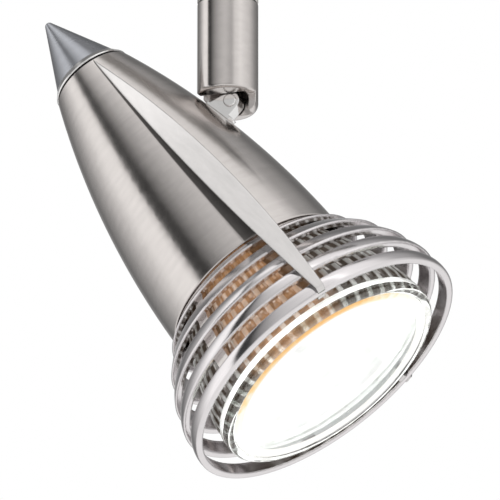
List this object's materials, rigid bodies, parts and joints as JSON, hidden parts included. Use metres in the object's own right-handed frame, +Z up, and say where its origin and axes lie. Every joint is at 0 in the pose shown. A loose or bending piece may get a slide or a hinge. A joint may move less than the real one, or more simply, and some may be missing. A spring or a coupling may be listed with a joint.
{
  "type": "track lighting fixture",
  "caption": "Track-mounted spotlight: finned, ringed bullet head with a reflector lamp, tilting and turning on a swivel stem under a twist-lock track adapter.",
  "frame": {"origin": "middle of the adapter's flat top face, which seats in the track", "axes": "+Z up, out of the adapter's top into the track, so the fixture hangs below the origin; +X along the track, the way the head aims at rest; +Y across the track"},
  "size_m": [0.097, 0.0626, 0.1976],
  "materials": {
    "adapter_plastic": "fine-textured metallic grey moulding",
    "lock_plastic": "black nylon",
    "terminal_plastic": "natural nylon",
    "contact_brass": "bare sprung copper alloy",
    "bush_brass": "turned",
    "bright_screws": "zinc-plated steel",
    "stem_nickel": "satin nickel plate",
    "shell_nickel": "satin nickel plate",
    "fin_nickel": "satin nickel plate",
    "ring_nickel": "satin nickel plate",
    "polished_nickel": "bright nickel plate",
    "cone_grey": "bead-blasted satin",
    "spring_steel": "bare",
    "sheet_steel": "galvanised sheet",
    "dark_washer": "filled PTFE",
    "dark_rubber": "moulded",
    "lead_sleeve": "silicone insulation",
    "holder_ceramic": "unglazed steatite",
    "lamp_ceramic": "white ceramic cement and base",
    "reflector_glass": "pressed faceted glass, mirror-coated inside",
    "lamp_glass": "clear cover glass",
    "capsule_glass": "clear quartz",
    "filament": "coiled tungsten wire"
  },
  "bodies": {
    "fixture": {"adapter_cover": "adapter_plastic", "adapter_tray": "adapter_plastic", "housing_screws": "bright_screws", "terminal_block": "terminal_plastic", "terminal_screws": "bright_screws", "contact_live": "contact_brass", "contact_neutral": "contact_brass", "contact_earth": "contact_brass", "upper_stem": "stem_nickel", "stem_collar": "stem_nickel", "stem_locknut": "bright_screws", "pan_stop_screw": "bright_screws", "pan_bush": "bush_brass", "stem_lead_live": "lead_sleeve", "stem_lead_neutral": "lead_sleeve"},
    "lock": {"lock_rotor": "lock_plastic", "lock_lever": "lock_plastic", "lever_screw": "bright_screws"},
    "barrel": {"swivel_barrel": "stem_nickel", "pan_nut": "bright_screws", "pan_spring": "spring_steel", "pan_washer": "dark_washer", "pivot_screw": "polished_nickel", "friction_washer": "dark_washer"},
    "head": {"swivel_lug": "polished_nickel", "lug_screw": "bright_screws", "shell": "shell_nickel", "tail_cone": "cone_grey", "tail_collar": "polished_nickel", "tail_gasket": "dark_rubber", "tail_stud": "bright_screws", "tail_nut": "bright_screws", "fin_near": "fin_nickel", "fin_far": "fin_nickel", "strut_near": "ring_nickel", "strut_far": "ring_nickel", "ring_1": "ring_nickel", "ring_2": "ring_nickel", "ring_3": "ring_nickel", "ring_4": "ring_nickel", "ring_5": "ring_nickel", "holder_bracket": "sheet_steel", "bracket_screws": "bright_screws", "lampholder_body": "holder_ceramic", "lampholder_cover": "holder_ceramic", "lampholder_contacts": "contact_brass", "head_lead_live": "lead_sleeve", "head_lead_neutral": "lead_sleeve"},
    "lamp": {"lamp_reflector": "reflector_glass", "lamp_front_glass": "lamp_glass", "lamp_capsule": "capsule_glass", "lamp_filament": "filament", "lamp_base": "lamp_ceramic", "lamp_pins": "spring_steel"}
  },
  "joints": [
    {"name": "lock_turn", "type": "hinge", "parent": "fixture", "child": "lock", "pos_m": [0.027, 0, -0.0243], "axis": [0, 0, 1], "range_deg": [0, 90]},
    {"name": "pan", "type": "hinge", "parent": "fixture", "child": "barrel", "pos_m": [0, 0, -0.12], "axis": [0, 0, 1], "range_deg": [-150, 150]},
    {"name": "tilt", "type": "hinge", "parent": "barrel", "child": "head", "pos_m": [0.001, 0, -0.12], "axis": [0, 1, 0], "range_deg": [-53.5, 2.5]},
    {"name": "lamp_twist", "type": "hinge", "parent": "head", "child": "lamp", "pos_m": [-0.00779, 0, -0.14056], "axis": [0.5948, 0, -0.8039], "range_deg": [0, 20]}
  ]
}
